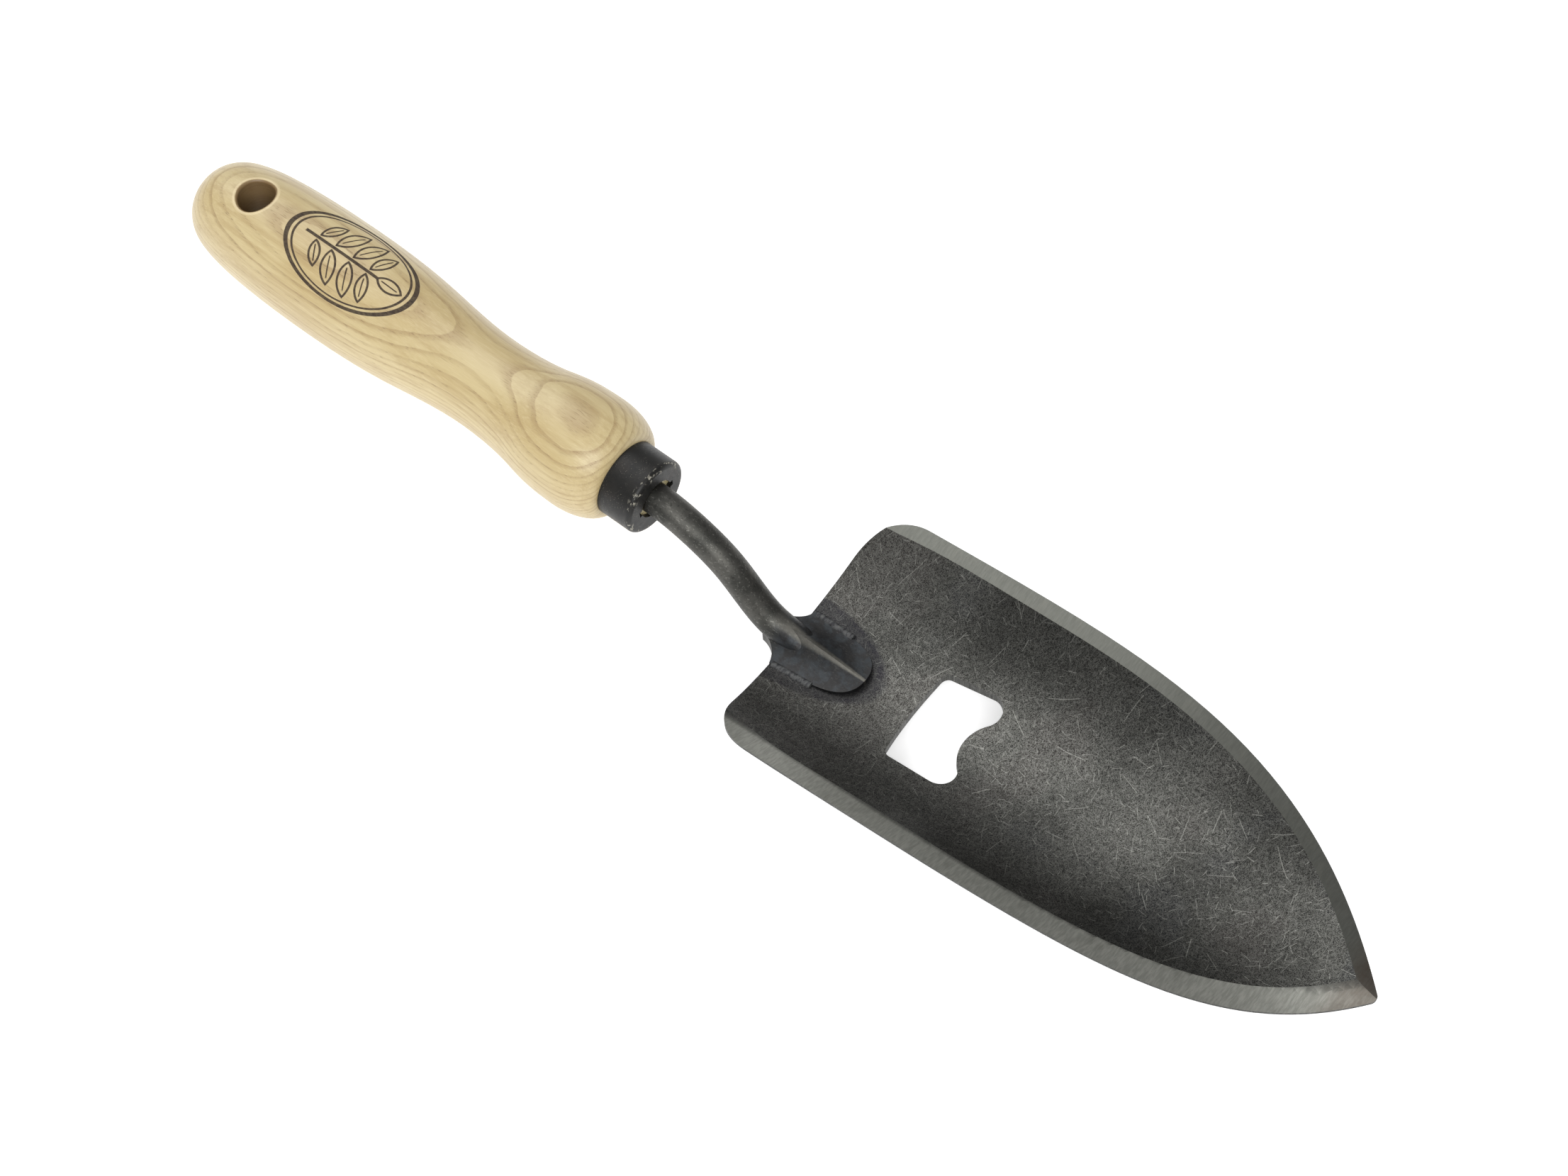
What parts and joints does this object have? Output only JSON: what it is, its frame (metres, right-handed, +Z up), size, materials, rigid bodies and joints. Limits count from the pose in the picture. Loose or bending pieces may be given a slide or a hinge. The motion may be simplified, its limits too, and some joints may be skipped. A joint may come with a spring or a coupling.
{
  "type": "hand trowel",
  "caption": "Forged steel hand trowel: dished pointed blade with ground edges and an opener cut-out, cranked round shank, ferrule and turned ash handle with a hanging hole.",
  "frame": {"origin": "middle of the bounding box in X and Y, and within 0.2 mm of its lowest level in Z", "axes": "+X along the handle axis from butt to blade tip; +Z up, out of the hollow side of the blade and along the hanging hole; +Y to the left when looking from the butt to the tip"},
  "size_m": [0.3413, 0.0694, 0.0405],
  "materials": {
    "ash": "smooth clear-finished ash with flat-sawn grain and a small burned leaf emblem on top",
    "ferrule_black": "satin black paint over drawn steel, lightly chipped",
    "forged_steel": "dark tumbled forging scale, worn bright on the ridge, blued around the weld",
    "blade_steel": "dark tumbled plate with fine random scratches, edges ground to pale brushed steel, tip tinted brown",
    "weld_steel": "dark ground weld bead"
  },
  "bodies": {
    "root": {"handle": "ash", "ferrule": "ferrule_black", "shank": "forged_steel", "blade": "blade_steel", "weld_left": "weld_steel", "weld_right": "weld_steel"}
  },
  "joints": []
}
